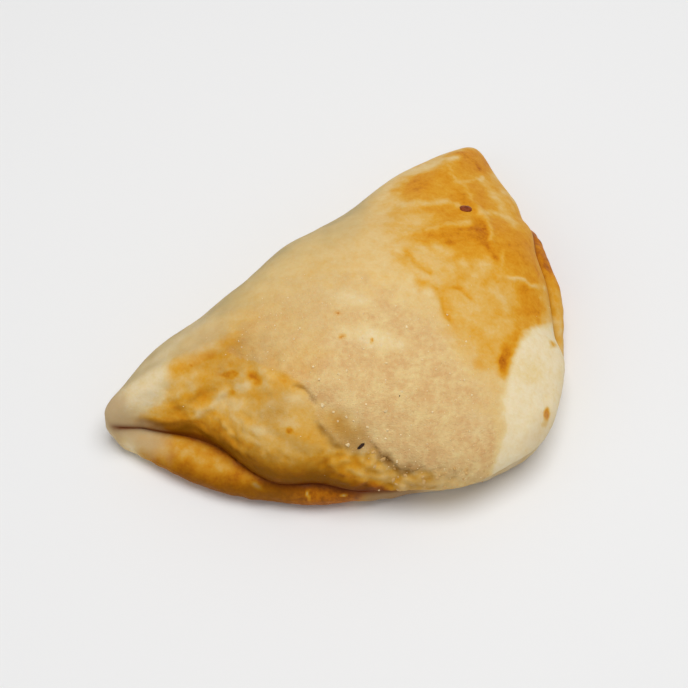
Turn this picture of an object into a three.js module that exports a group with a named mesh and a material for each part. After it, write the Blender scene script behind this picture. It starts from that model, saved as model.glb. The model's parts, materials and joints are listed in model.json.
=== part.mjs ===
// A baked turnover: a square of dough folded corner to corner over its filling, so that it is a
// rounded triangle with a soft fold at the back left, and sealed edges in front and at the right.
// Millimetres, +Z up. Angles are degrees anticlockwise from +X, seen from above, round an upright
// axis through the crown. Reaches are distances from that axis. The last step moves the middle of
// the footprint to the origin.
import * as THREE from "three";
import { mergeVertices } from "three/addons/utils/BufferGeometryUtils.js";

// Heights above the table.
const CROWN_HEIGHT = 41;
const LIP_HEIGHT = 5; // widest point of the lower sheet, where there is a seam
const BROW_HEIGHT = 14; // widest point of the upper sheet, where there is a seam
const FOLD_LOW_HEIGHT = 8; // the same two points, where the dough is folded and has no seam
const FOLD_HIGH_HEIGHT = 15;
const SEAM_SHARE = 0.65; // how much of the way from the lip up to the brow the seam lies

// The underside is flat up to this far inside the rim.
const TUCK = 6;

// The plan outline is a rounded polygon. Each side faces an angle and stands at a reach.
const SIDES = [
  { name: "fold", faces: 131.9, reach: 33.5 },
  { name: "front left", faces: 237.5, reach: 61.9 },
  { name: "front middle", faces: 262.4, reach: 51.6 },
  { name: "front right", faces: 285.7, reach: 50.9 },
  { name: "blunt corner", faces: 329.3, reach: 68.9 },
  { name: "right", faces: 356.6, reach: 68 },
  { name: "side", faces: 22, reach: 71.8 },
];
const CORNER_SHARPNESS = 20;

// Where the outline swells out or draws in, over so many degrees to each side.
const RIM_SWELLS = [
  { name: "side flange", at: 16.7, over: 9.9, by: 1.4 },
  { name: "back end of the flange", at: 34.3, over: 6, by: 2.4 },
  { name: "back tip", at: 63.2, over: 2.8, by: -2.3 },
  { name: "fold by the back tip", at: 73.4, over: 11.2, by: 5.6 },
  { name: "fold middle", at: 125.7, over: 17.6, by: 1.5 },
  { name: "fold hollow", at: 166, over: 8.1, by: 1 },
  { name: "fold by the left tip", at: 185, over: 5.3, by: 2.5 },
  { name: "left tip", at: 196.3, over: 4, by: -3.9 },
  { name: "front left hollow", at: 214.6, over: 12.2, by: -1 },
  { name: "front hollow", at: 273, over: 10, by: -0.9 },
  { name: "front right bulge", at: 306.2, over: 17.3, by: 6 },
];

// How far the lower sheet stands out past the upper one, where there is a seam.
const LEDGES = [
  { name: "front lip", at: 219.5, over: 20.5, by: 11.3 },
  { name: "middle of the front lip", at: 260.5, over: 9.5, by: 3.2 },
  { name: "side flange", at: 19.1, over: 22.6, by: 6.1 },
];

// How far the upper sheet bulges over the lower one.
const OVERHANGS = [
  { name: "front right", at: 302, over: 16, by: 4.1 },
  { name: "blunt corner", at: 330.5, over: 14, by: 1.7 },
];

// The stretches where the two sheets meet in a groove, and over how much of the rim it closes.
const SEAMS = [
  { name: "front", from: 205, to: 286, fadeIn: 4, fadeOut: 10, depth: 1.3 },
  { name: "side", from: 2, to: 38, fadeIn: 10, fadeOut: 8, depth: 1 },
];

// Where the lip and the brow stand higher or hang lower.
const HEIGHT_SHIFTS = [
  { name: "left tip", at: 197, over: 12, lip: -0.7, brow: -1.2 },
  { name: "back tip", at: 60, over: 16, lip: -3.5, brow: -7.4 },
  { name: "front right sag", at: 288, over: 26, lip: 2.3, brow: -2.3 },
  { name: "raised side flange", at: 24.8, over: 14.3, lip: 7.3, brow: 4.9 },
];

// The dome's contours turn from the outline at the brow to a circle of this reach at the crown.
const DOME = { spread: 48, hold: 1.6, power: 2.2, fullness: 0.6, ledgeHold: 3.5 };

// Where the upper sheet is raised or pressed in: long and wide are the reaches of an oval swell,
// whose long way is turned from +X.
const RELIEF = [
  { name: "filling mound", x: 6, y: -33, long: 26, wide: 12, turn: 5, by: 1.5 },
  { name: "pinch under the crust", x: 17, y: -48, long: 13, wide: 5, turn: 3, by: -0.5 },
  { name: "band on the shoulder", x: 43, y: 12, long: 20, wide: 6, turn: -27, by: -1 },
  { name: "ridge to the back tip", x: 42, y: 38, long: 20, wide: 5, turn: 102, by: 1 },
  { name: "puff on the right", x: 53, y: 23, long: 9, wide: 6, turn: 100, by: 0.8 },
  { name: "dimple", x: -35, y: -27, long: 7, wide: 5, turn: 20, by: -1 },
  { name: "puff by the dimple", x: -45, y: -23, long: 7, wide: 5, turn: 40, by: 0.8 },
  { name: "pleat by the left tip", x: -47, y: -31, long: 11, wide: 4, turn: 15, by: -0.9 },
  { name: "dent in the fold", x: 12, y: 38, long: 12, wide: 8, turn: 41, by: -1.2 },
];

// The filling's own unevenness, as crossed waves.
const LUMPS = { length: 21, skew: 0.6, by: 0.4 };

// The skin is a box's: columns run round it, and rows run up its sides.
const COLUMNS_A_SIDE = 32;
const ROWS = { tuck: 4, lip: 4, brow: 4, flank: 10 };
const FLANK_SHARE = 0.35; // how much of the way from the brow to the crown the flank rows take

const turnFrom = (a, b) => ((((a - b + 180) % 360) + 360) % 360) - 180;
const swell = (angle, { at, over }) =>
  Math.exp(-((turnFrom(angle, at) / over) ** 2));
const total = (list, value) => list.reduce((sum, item) => sum + value(item), 0);

// 1 along a stretch of the rim, and fading to 0 past its ends.
function stretch(angle, { from, to, fadeIn, fadeOut }) {
  const { smoothstep } = THREE.MathUtils;
  const half = ((to - from + 360) % 360) / 2;
  const along = turnFrom(angle, from + half);
  return smoothstep(along + half, -fadeIn, 0) * smoothstep(half - along, -fadeOut, 0);
}

function rimReach(angle) {
  const crowding = total(SIDES, ({ faces, reach }) => {
    const facing = Math.cos(THREE.MathUtils.degToRad(angle - faces));
    return (Math.max(facing, 0) / reach) ** CORNER_SHARPNESS;
  });
  return (
    crowding ** (-1 / CORNER_SHARPNESS) +
    total(RIM_SWELLS, (s) => s.by * swell(angle, s))
  );
}

// The reaches and heights that the section at one angle is drawn through.
function sectionSizes(angle) {
  const rim = rimReach(angle);
  const sealed = total(SEAMS, (s) => stretch(angle, s));
  const groove = total(SEAMS, (s) => s.depth * stretch(angle, s));
  const lip = rim - total(OVERHANGS, (s) => s.by * swell(angle, s));
  const brow = rim - sealed * total(LEDGES, (s) => s.by * swell(angle, s));
  const lipShift = total(HEIGHT_SHIFTS, (s) => s.lip * swell(angle, s));
  const browShift = total(HEIGHT_SHIFTS, (s) => s.brow * swell(angle, s));
  const { lerp } = THREE.MathUtils;
  const lipHeight = lerp(FOLD_LOW_HEIGHT, LIP_HEIGHT, sealed) + lipShift;
  const browHeight = lerp(FOLD_HIGH_HEIGHT, BROW_HEIGHT, sealed) + browShift;
  return {
    rim,
    lip,
    brow,
    seam: Math.min(lip, brow) - groove,
    lipHeight,
    seamHeight: lerp(lipHeight, browHeight, SEAM_SHARE),
    browHeight,
  };
}

// The stages of a section, each with its share run from 0 to 1, giving [reach, height].
const QUARTER = Math.PI / 2;
const STAGES = {
  underside: (s, share) => [share * (s.lip - TUCK), 0],
  tuck: (s, share) => [
    s.lip - TUCK * (1 - Math.sin(share * QUARTER)),
    s.lipHeight * (1 - Math.cos(share * QUARTER)),
  ],
  lip: (s, share) => [
    s.seam + (s.lip - s.seam) * Math.cos(share * QUARTER),
    s.lipHeight + (s.seamHeight - s.lipHeight) * Math.sin(share * QUARTER),
  ],
  brow: (s, share) => [
    s.seam + (s.brow - s.seam) * Math.sin(share * QUARTER),
    s.browHeight + (s.seamHeight - s.browHeight) * Math.cos(share * QUARTER),
  ],
  dome: (s, share) => {
    const out = Math.cos(share * QUARTER);
    const rise = (1 - out ** DOME.power) ** DOME.fullness;
    const contour = DOME.spread + (s.rim - DOME.spread) * out ** DOME.hold;
    return [
      out * contour - (s.rim - s.brow) * out ** DOME.ledgeHold,
      s.browHeight + (CROWN_HEIGHT - s.browHeight) * rise,
    ];
  },
};

// A row on the side of the box, counted from the bottom, as a stage and a share of it.
function stageOfRow(row) {
  for (const stage of ["tuck", "lip", "brow"]) {
    if (row < ROWS[stage]) return [stage, row / ROWS[stage]];
    row -= ROWS[stage];
  }
  return ["dome", (FLANK_SHARE * row) / ROWS.flank];
}

// Angles spaced evenly along the rim, to which a share of the way round is matched.
const RIM_STEPS = 1440;
const rimCurve = new THREE.CurvePath();
const rimPoint = (angle) =>
  new THREE.Vector2(rimReach(angle), 0).rotateAround(
    new THREE.Vector2(),
    THREE.MathUtils.degToRad(angle),
  );
for (let step = 0; step < RIM_STEPS; step++)
  rimCurve.add(
    new THREE.LineCurve(
      rimPoint((360 * step) / RIM_STEPS),
      rimPoint((360 * (step + 1)) / RIM_STEPS),
    ),
  );

// How far round a square ring a point is, as a share from 0 to 1.
function shareRound(x, y) {
  const reach = Math.max(Math.abs(x), Math.abs(y));
  if (reach === 0) return 0;
  const [u, v] = [x / reach, y / reach];
  if (u === 1 && v > -1) return (v + 1) / 8;
  if (v === 1) return (3 - u) / 8;
  if (u === -1) return (5 - v) / 8;
  return ((7 + u) / 8) % 1;
}

function turnoverSkin() {
  const rows = ROWS.tuck + ROWS.lip + ROWS.brow + ROWS.flank;
  const skin = new THREE.BoxGeometry(
    2, 2, 2, COLUMNS_A_SIDE, COLUMNS_A_SIDE, rows,
  );
  const place = skin.getAttribute("position");
  const upper = new THREE.BufferAttribute(new Float32Array(place.count), 1);
  const point = new THREE.Vector3();
  for (let i = 0; i < place.count; i++) {
    point.fromBufferAttribute(place, i);
    const ring = Math.max(Math.abs(point.x), Math.abs(point.y));
    const round = rimCurve.getPoint(shareRound(point.x, point.y));
    const angle = THREE.MathUtils.radToDeg(round.angle());
    let [stage, share] = stageOfRow(Math.round(((point.z + 1) / 2) * rows));
    if (point.z === -1) [stage, share] = ["underside", ring];
    if (point.z === 1) share = 1 - (1 - FLANK_SHARE) * ring;
    const [reach, height] = STAGES[stage](sectionSizes(angle), share);
    round.setLength(reach);
    place.setXYZ(i, round.x, round.y, height);
    upper.setX(i, { brow: share, dome: 1 }[stage] ?? 0);
  }
  skin.setAttribute("upper", upper);
  skin.deleteAttribute("normal");
  skin.deleteAttribute("uv");
  return mergeVertices(skin, 1e-4);
}

// Splits each of the box's quads, which are pairs of triangles, so that neither is a sliver.
function splitEvenly(skin) {
  const place = skin.getAttribute("position");
  const index = skin.getIndex();
  const corner = (i) => new THREE.Vector3().fromBufferAttribute(place, i);
  const fatness = (...ends) => {
    const triangle = new THREE.Triangle(...ends.map(corner));
    const longest = Math.max(
      triangle.a.distanceTo(triangle.b),
      triangle.b.distanceTo(triangle.c),
      triangle.c.distanceTo(triangle.a),
    );
    return triangle.getArea() / longest ** 2;
  };
  for (let i = 0; i < index.count; i += 6) {
    const [a, b, d, c] = [0, 1, 2, 4].map((k) => index.getX(i + k));
    const asMade = Math.min(fatness(a, b, d), fatness(b, c, d));
    const turned = Math.min(fatness(a, b, c), fatness(a, c, d));
    if (turned > asMade)
      [a, b, c, a, c, d].forEach((vertex, k) => index.setX(i + k, vertex));
  }
}

// How far the upper sheet is raised at one place.
function relief(x, y) {
  const across = (x * (1 + LUMPS.skew) + y) / LUMPS.length;
  const along = (y * (1 + LUMPS.skew) - x) / LUMPS.length;
  const raised = ({ x: atX, y: atY, long, wide, turn, by }) => {
    const away = new THREE.Vector2(x - atX, y - atY);
    away.rotateAround(new THREE.Vector2(), -THREE.MathUtils.degToRad(turn));
    return by * Math.exp(-((away.x / long) ** 2) - (away.y / wide) ** 2);
  };
  return total(RELIEF, raised) + LUMPS.by * Math.sin(across) * Math.sin(along);
}

function raiseRelief(skin) {
  skin.computeVertexNormals();
  const place = skin.getAttribute("position");
  const point = new THREE.Vector3();
  const outward = new THREE.Vector3();
  for (let i = 0; i < place.count; i++) {
    point.fromBufferAttribute(place, i);
    outward.fromBufferAttribute(skin.getAttribute("normal"), i);
    const by = relief(point.x, point.y) * skin.getAttribute("upper").getX(i);
    point.addScaledVector(outward, by);
    place.setXYZ(i, point.x, point.y, point.z);
  }
  skin.deleteAttribute("upper");
}

const skin = turnoverSkin();
splitEvenly(skin);
raiseRelief(skin);
skin.computeBoundingBox();
const middle = skin.boundingBox.getCenter(new THREE.Vector3());
skin.translate(-middle.x, -middle.y, 0);
skin.computeVertexNormals();

const turnover = new THREE.Mesh(
  skin,
  new THREE.MeshStandardMaterial({ color: 0xd9a562, roughness: 0.6, metalness: 0 }),
);
turnover.name = "turnover";

const part = new THREE.Group();
part.add(turnover);
export default part;
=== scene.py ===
"""A baked turnover: its skin with the crust, the browning and the creases, the sugar and crumbs on it,
and a plain studio round it. Sizes are millimetres and angles are degrees until a mesh is finished,
which is scaled to metres. Crown coordinates are counted from the upright axis through the crown, as in
the CAD model."""

import json
import math
import random
from functools import partial

import bmesh
import bpy
import numpy as np
from mathutils import Euler, Matrix, Vector, noise

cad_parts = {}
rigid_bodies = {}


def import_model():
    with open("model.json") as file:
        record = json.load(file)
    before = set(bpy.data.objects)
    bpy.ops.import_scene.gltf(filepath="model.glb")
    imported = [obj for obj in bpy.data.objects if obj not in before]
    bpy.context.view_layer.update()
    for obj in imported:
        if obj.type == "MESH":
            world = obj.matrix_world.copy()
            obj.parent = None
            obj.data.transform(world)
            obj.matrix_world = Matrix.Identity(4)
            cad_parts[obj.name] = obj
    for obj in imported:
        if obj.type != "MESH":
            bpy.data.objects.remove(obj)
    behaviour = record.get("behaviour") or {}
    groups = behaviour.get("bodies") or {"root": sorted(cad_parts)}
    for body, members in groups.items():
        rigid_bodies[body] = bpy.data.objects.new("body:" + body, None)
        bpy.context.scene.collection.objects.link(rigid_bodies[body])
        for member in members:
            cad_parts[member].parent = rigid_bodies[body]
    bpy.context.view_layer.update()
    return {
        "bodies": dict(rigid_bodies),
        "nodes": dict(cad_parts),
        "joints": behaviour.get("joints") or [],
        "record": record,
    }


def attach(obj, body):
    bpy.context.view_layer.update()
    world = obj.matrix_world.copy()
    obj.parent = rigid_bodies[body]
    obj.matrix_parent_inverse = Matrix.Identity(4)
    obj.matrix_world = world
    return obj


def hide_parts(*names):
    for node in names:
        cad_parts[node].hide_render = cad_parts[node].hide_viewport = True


MM = 0.001

# ---------------------------------------------------------------------------------------------
# The form, from the same named sizes as the CAD model's.

CROWN_HEIGHT = 41
LIP_HEIGHT = 5
BROW_HEIGHT = 14
FOLD_LOW_HEIGHT = 8
FOLD_HIGH_HEIGHT = 15
SEAM_SHARE = 0.65
TUCK = 6

# Each side of the plan outline: the angle it faces and its reach from the axis.
SIDES = (
    ("fold", 131.9, 33.5),
    ("front left", 237.5, 61.9),
    ("front middle", 262.4, 51.6),
    ("front right", 285.7, 50.9),
    ("blunt corner", 329.3, 68.9),
    ("right", 356.6, 68),
    ("side", 22, 71.8),
)
CORNER_SHARPNESS = 20

# Swells of the outline, ledges of the lower sheet and overhangs of the upper one: at an angle, over so
# many degrees, by so much.
RIM_SWELLS = (
    ("side flange", 16.7, 9.9, 1.4),
    ("back end of the flange", 34.3, 6, 2.4),
    ("back tip", 63.2, 2.8, -2.3),
    ("fold by the back tip", 73.4, 11.2, 5.6),
    ("fold middle", 125.7, 17.6, 1.5),
    ("fold hollow", 166, 8.1, 1),
    ("fold by the left tip", 185, 5.3, 2.5),
    ("left tip", 196.3, 4, -3.9),
    ("front left hollow", 214.6, 12.2, -1),
    ("front hollow", 273, 10, -0.9),
    ("front right bulge", 306.2, 17.3, 6),
)
LEDGES = (
    ("front lip", 219.5, 20.5, 11.3),
    ("middle of the front lip", 260.5, 9.5, 3.2),
    ("side flange", 19.1, 22.6, 6.1),
)
OVERHANGS = (
    ("front right", 302, 16, 4.1),
    ("blunt corner", 330.5, 14, 1.7),
)

# Seams: from an angle to an angle, fading over so many degrees at each, by so much depth.
FRONT_SEAM = (205, 286, 4, 10, 1.3)
SIDE_SEAM = (2, 38, 10, 8, 1)

# The seams' sharp bottoms are filled by so much, over so much.
SEAM_FILL, SEAM_FILL_REACH = 0.7, 0.8

# Height shifts: at an angle, over so many degrees, of the lip and of the brow.
HEIGHT_SHIFTS = (
    ("left tip", 197, 12, -0.7, -1.2),
    ("back tip", 60, 16, -3.5, -7.4),
    ("front right sag", 288, 26, 2.3, -2.3),
    ("raised side flange", 24.8, 14.3, 7.3, 4.9),
)

DOME_SPREAD = 48
DOME_HOLD = 1.6
DOME_POWER = 2.2
DOME_FULLNESS = 0.6
DOME_LEDGE_HOLD = 3.5

# Broad swells of the upper sheet: x, y, long, wide, turn, by.
RELIEF = (
    ("filling mound", 6, -33, 26, 12, 5, 1.5),
    ("pinch under the crust", 17, -48, 13, 5, 3, -0.5),
    ("band on the shoulder", 43, 12, 20, 6, -27, -1),
    ("ridge to the back tip", 42, 38, 20, 5, 102, 1),
    ("puff on the right", 53, 23, 9, 6, 100, 0.8),
    ("dimple", -35, -27, 7, 5, 20, -1),
    ("puff by the dimple", -45, -23, 7, 5, 40, 0.8),
    ("pleat by the left tip", -47, -31, 11, 4, 15, -0.9),
    ("dent in the fold", 12, 38, 12, 8, 41, -1.2),
)
LUMP_LENGTH = 21
LUMP_SKEW = 0.6
LUMP_BY = 0.4

# The skin is a cube's: columns run round it and rows run up its sides.
COLUMNS_A_SIDE = 144
TUCK_ROWS, LIP_ROWS, BROW_ROWS, FLANK_ROWS = 8, 16, 18, 50
FLANK_SHARE = 0.45
RIM_STEPS = 1440

# ---------------------------------------------------------------------------------------------
# Marks on the upper sheet. They are placed on a slanted plane that faces the upper sheet: across
# is x, and up climbs with the height and with the distance backwards.

FACE_TILT = 57

# Browning, from 0 for raw ivory dough to 1 for dark caramel.
MIDDLE_BROWNING = 0.33
CORNER_BROWNING = 0.04
LEFT_TIP_BROWNING = 0.08
BACK_BROWNING = 0.36
UNDERSIDE_BROWNING = 0.64
# The lip's dark foot is deep browning and painted shade where the lip turns down.
LIP_FOOT_BROWNING_AND_SHADE = 0.9
OVER_CREASE_BROWNING = 0.76
CREASE_EDGE_BROWNING = 0.8
SIDE_SEAM_BROWNING = 0.92

# Patches painted over one another: level, across, up, long, wide, turn, softness of the edge.
BROWNING_PATCHES = (
    ("straw side of the fold", 0.36, 8, 40, 24, 12, 38, 0.6),
    ("gold to the back tip", 0.66, 33, 54, 21, 12, 40, 0.35),
    ("gold of the right side", 0.68, 47, 34, 25, 19, -70, 0.35),
    ("gold above the corner", 0.58, 41, 13, 16, 9, -55, 0.5),
    ("gold to the left", 0.57, -31, -7, 26, 13, 20, 0.4),
    ("straw left of the middle", 0.46, -22, 10, 14, 10, 40, 0.6),
    ("straw of the front", 0.56, -16, -20, 22, 9, -22, 0.6),
    # By the back tip.
    ("tip", 0.75, 42, 67.1, 7.1, 4.8, 0, 0.5),
    ("scorched rim of the tip", 0.78, 37.4, 69.3, 4.2, 1, 18, 0.6),
    ("deep gold under the fold", 0.72, 27.7, 59.1, 10.1, 4.5, 15, 0.5),
    ("deepest gold under the fold", 0.76, 23.3, 57.5, 3.6, 1.8, 20, 0.7),
    ("cream freckle of the tip", 0.36, 44.1, 60.6, 1.2, 0.9, 0, 0.6),
    ("brown spot of the tip", 0.84, 44, 64.3, 0.9, 1, 0, 0.7),
    ("gold between the veins", 0.69, 27, 47.7, 8.9, 2.4, 3, 0.5),
    ("deep gold under the vein", 0.74, 32.8, 40.9, 10.7, 3.6, 8, 0.5),
    ("gold by the tip vein", 0.72, 43.4, 53.6, 2.1, 3.6, -15, 0.5),
    ("gold beside the tip vein", 0.75, 36.3, 53, 3.6, 2.2, 20, 0.6),
    ("straw beside the fold", 0.54, 20, 48.5, 4, 2.4, 10, 0.7),
    ("amber hollow", 0.84, 43, 42.2, 4.2, 3.3, -50, 0.8),
    ("amber freckle", 0.82, 32.4, 38.5, 1.3, 1, 0, 0.7),
    ("gold of the shoulder", 0.74, 55.2, 32.7, 4.2, 7.7, 14, 0.5),
    ("gold left of the seam", 0.72, 50.8, 34.8, 4.5, 4.2, 0, 0.5),
    ("deep gold under the lower vein", 0.78, 54.4, 20.8, 6.5, 4.2, -35, 0.35),
    ("deepest gold under the lower vein", 0.72, 58.1, 17.9, 2.4, 2.7, -30, 0.6),
    ("gold over the corner", 0.66, 52.5, 11.8, 4.2, 3, 20, 0.5),
    ("gold of the flank", 0.54, 40.8, 14, 6.5, 3.6, -10, 0.7),
    ("straw over the drops", 0.5, 46.1, 12, 4, 3, 0, 0.7),
    ("amber drop, upper", 0.74, 50.7, 7.8, 2.7, 3.3, 25, 0.5),
    ("amber drop, lower", 0.84, 47.4, 2.7, 2.1, 4.5, -8, 0.35),
    ("straw between the drops", 0.46, 36.6, 5.3, 4.8, 3.6, -30, 0.7),
    ("freckle between the drops", 0.64, 39.4, 1.7, 1.5, 1.8, 0, 0.7),
    ("straw under the veins", 0.42, 24.1, 32, 8.9, 4.2, -20, 0.8),
    ("straw of the shoulder", 0.46, 37.3, 20.6, 5.4, 4.8, -40, 0.8),
    ("straw left of the veins", 0.46, 21.5, 45.4, 6, 2.4, 10, 0.8),
    ("straw of the pale band", 0.42, 40.8, 30, 2.4, 4.5, -45, 0.8),
    ("straw of the right side", 0.55, 49, 24, 3.6, 6, 15, 0.8),
    ("mottle 1", 0.6, 20.3, 39.7, 3.3, 1.5, 5, 0.8),
    ("mottle 2", 0.56, 17.8, 32.8, 3, 1.2, -30, 0.8),
    ("mottle 3", 0.6, 23.3, 25.6, 3, 1.5, -40, 0.8),
    ("mottle 4", 0.6, 30, 20.5, 3.6, 1.2, -45, 0.8),
    # Towards the left tip.
    ("gold under the fold, left", 0.6, -48, 0.9, 3.9, 2.4, 30, 0.8),
    ("gold under the fold, middle", 0.63, -40.9, 2.9, 4.2, 2.4, 25, 0.8),
    ("gold under the fold, right", 0.62, -34.3, 6.6, 3.6, 2.4, 45, 0.8),
    ("gold up the fold", 0.56, -29.6, 10.6, 4.2, 2.7, 45, 0.8),
    ("gold of the left, low", 0.64, -43.8, -6.9, 6.5, 3.3, 20, 0.7),
    ("amber spot in the gold", 0.68, -41.5, -6.9, 1.8, 1.2, 0, 0.7),
    ("straw in the gold, upper", 0.42, -40.7, 0.2, 2.8, 1.6, 30, 0.8),
    ("straw in the gold, low", 0.4, -47, -5.9, 4.2, 1.8, 15, 0.8),
    ("amber fleck, left", 0.86, -32.9, -1.4, 2.4, 1.2, 5, 0.4),
    # The right fleck's amber is partly painted shade in the hollow pressed there, and the paler rim after it
    # is partly a painted highlight on its raised rim.
    ("amber fleck, right", 0.8, -25.9, -2.4, 2.4, 1.6, -55, 0.5),
    ("rim of the right fleck", 0.42, -23.2, -0.2, 0.9, 1.5, 30, 0.6),
    ("amber fleck below them", 0.74, -32.7, -6.5, 1, 1, 0, 0.6),
    ("light patch between the flecks", 0.3, -29.1, -4.8, 2.4, 1.5, 15, 0.6),
    ("light patch under the stroke", 0.36, -31.2, -9.7, 4.8, 1.8, 15, 0.7),
    ("straw above the olive", 0.46, -32.4, -14.8, 5.4, 1.8, -25, 0.7),
    ("cream above the olive", 0.34, -23.5, -17.8, 3.6, 1.5, -20, 0.7),
    ("gold above the olive", 0.66, -38.1, -16.1, 2.1, 1.2, -30, 0.7),
    ("gold in the straw", 0.64, -28.4, -21.4, 2.7, 1.2, -30, 0.7),
    ("cream by the amber spot", 0.34, -16.4, -14.6, 3, 1.8, -10, 0.7),
    ("amber dots", 0.76, -43.1, -13.7, 0.6, 0.4, 0, 0.6),
    # On the filling.
    ("cream of the middle", 0.12, 6.9, 8.5, 10.1, 3, 0, 0.5),
    ("cream over the middle", 0.16, 2.5, 21, 6, 2.2, -8, 0.8),
    ("cream below it", 0.14, 10, 9.5, 9, 2.2, -15, 0.8),
    ("cream of the front right", 0.14, 37.3, -16.5, 4.5, 5.1, 20, 0.5),
    ("grey-cream left of the wrinkle", 0.42, -13.2, -8, 2.7, 2.1, 0, 0.7),
    ("straw left of the crust", 0.46, -17.6, -12, 4.2, 3.6, 0, 0.8),
    ("gold at the crust's foot", 0.46, -17.3, -21.6, 7.7, 2.1, -12, 0.8),
    ("gold under the crust's foot", 0.66, -4, -26.3, 7.1, 1.8, -5, 0.8),
    ("amber freckle of the middle", 0.8, -0.6, 9.7, 1.2, 0.7, 40, 0.5),
    ("brown freckle, left", 0.94, -2, 16.7, 0.6, 0.4, 0, 0.9),
    ("brown freckle by the tip", 0.9, -44.5, 1.4, 0.5, 0.4, 0, 0.9),
    ("brown freckle, right", 0.92, 8.1, 8.5, 0.4, 0.5, 0, 0.9),
    ("amber spot over the front", 0.82, -15.3, -17.2, 0.9, 0.8, 0, 0.5),
    ("caramel by the crease", 0.92, -1.2, -30.9, 2.7, 1.8, -10, 0.9),
    ("caramel line by the crease", 0.9, -11.3, -31.2, 7.7, 0.9, -6, 0.9),
    ("gold under the scallop", 0.6, 8.9, -26.5, 5, 2.2, -35, 0.8),
    ("straw under the scallop", 0.52, 17.7, -31.2, 8, 2, -8, 0.8),
    ("gold by the end of the crease", 0.68, 1.6, -26.4, 6, 1.8, -15, 0.8),
    ("gold over the crust's foot", 0.6, -2, -15.5, 7, 3, -30, 0.9),
    ("gold over the olive", 0.62, -36.1, -14.5, 4, 1.6, -25, 0.7),
    ("cream over the olive", 0.44, -27.1, -20.1, 3, 1.2, -25, 0.7),
)

# Curves that are painted and also raised or pressed: the points they run through.
CREAM_STROKE = ((-46.7, -15.6), (-44.5, -14), (-42, -12.6), (-39.1, -10.5), (-36.6, -8.2), (-34.1, -5.7))
TIP_VEIN = ((18.2, 50.5), (25, 51.2), (31.2, 52.1), (35.1, 51.1))
MIDDLE_VEIN = ((18.6, 41.5), (23.7, 41.7), (27.7, 43), (32.7, 44.6), (38.4, 45))
LOWER_VEIN = ((46.7, 27.6), (51.5, 27.4), (55.7, 26.5), (61.3, 24.6))
PALE_BAND = ((27.5, 36.4), (34.5, 32.8), (40, 28.6), (43.6, 24.6), (47.1, 20.8), (49, 18.3))
LEFT_CRINKLE = ((18.8, 35.7), (21.2, 32), (25.3, 29))
LOW_CRINKLE = ((28.4, 21.2), (29.8, 18.2), (31.8, 14.6))
CRUST_WRINKLE = ((-14.9, -4.1), (-12.5, -4.6), (-10.6, -5.7), (-9.2, -7), (-8.3, -9.3))
CRUST_STEP = ((-8.3, -15), (-6.6, -16.9), (-4.5, -18.7), (-2.3, -21.5), (-0.5, -22.8))

# Lines: level, half width, and the points they run through.
BROWNING_LINES = (
    ("cream stroke", 0.28, 1.2, CREAM_STROKE),
    ("orange-gold band", 0.64, 1.4, ((-49.4, -11), (-45.3, -8.8), (-41.5, -6.4), (-38.8, -3.4))),
    # Partly painted shade in the right fleck's hollow.
    ("dark rim of the right fleck", 0.95, 0.5, ((-27.6, -0.5), (-26.3, -2.1), (-24.3, -3.8))),
    ("pale fold's edge", 0.3, 1.2, ((21.8, 62), (27, 64.6), (32.2, 66.8), (36.4, 67.8))),
    (
        "vein down the tip", 0.46, 0.75,
        (
            (35.2, 59.3), (37.6, 57.6), (39.8, 54.7), (40.2, 52.8), (41.5, 50.2), (43, 48), (44.6, 44.9),
            (45.2, 41.9), (45, 39.2),
        ),
    ),
    ("branch at the tip", 0.48, 0.7, ((33.9, 63.7), (34.6, 61), (37.9, 59.1), (42.4, 60.5))),
    ("vein across the tip", 0.4, 1, TIP_VEIN),
    ("vein below it", 0.45, 0.95, MIDDLE_VEIN),
    ("branch to the right", 0.42, 0.9, ((42.2, 48.2), (44.5, 48.4), (47.2, 48.8), (51.1, 47.2))),
    (
        "light strip down the right", 0.42, 1.5,
        ((46.1, 58.9), (47.8, 55), (49.6, 51.9), (51.3, 48.7), (53.4, 45.5)),
    ),
    ("amber line in the hollow", 0.85, 1, ((41, 39.3), (43.3, 37.2), (45.8, 33.9))),
    ("pale band", 0.44, 1.7, PALE_BAND),
    ("pale line by the gold", 0.52, 0.8, ((48.3, 35.7), (48, 32.9), (46.8, 29.8))),
    ("lower vein", 0.33, 0.7, LOWER_VEIN),
    # The gold crinkles are painted shade along the crinkles that the fine lines press in.
    ("gold crinkle, left", 0.66, 1, LEFT_CRINKLE),
    ("gold crinkle, middle", 0.7, 0.8, ((24.1, 25.4), (27.4, 24.1))),
    ("gold crinkle, low", 0.76, 0.9, LOW_CRINKLE),
    ("gold crinkle, right", 0.74, 0.8, ((33, 24.9), (35.4, 24), (37.6, 21.2))),
)

# Browning of the lower sheet, by the angle round the rim.
LIP_BROWNING = (
    (0, 0.42), (8, 0.5), (13, 0.58), (18, 0.66), (23, 0.84), (34, 0.88), (50, 0.6), (70, 0.4), (130, 0.35),
    (185, 0.25), (200, 0.1), (208, 0.14), (212, 0.48), (218, 0.62), (227, 0.68), (238, 0.75), (248, 0.84),
    (255, 0.9), (268, 0.9), (272, 0.78), (277, 0.4), (283, 0.15), (318, 0.12), (345, 0.05), (360, 0.4),
)

# Patches on the lower sheet: level, across, up, long, wide, turn, softness of the edge.
LIP_PATCHES = (
    ("gold-tan by the tip", 0.56, -53.1, -22.9, 7.1, 3, -18, 0.7),
    ("gold-tan of the lip", 0.64, -42.5, -26, 8.9, 2.7, -22, 0.7),
    ("cream mottle", 0.5, -35.6, -28.7, 2.1, 1.5, -30, 0.8),
    ("gold of the lip", 0.72, -31.8, -30.4, 3.6, 1.8, -25, 0.8),
    ("cream mottle by the crease", 0.5, -45.7, -24.5, 1.5, 0.9, -30, 0.8),
)

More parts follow.
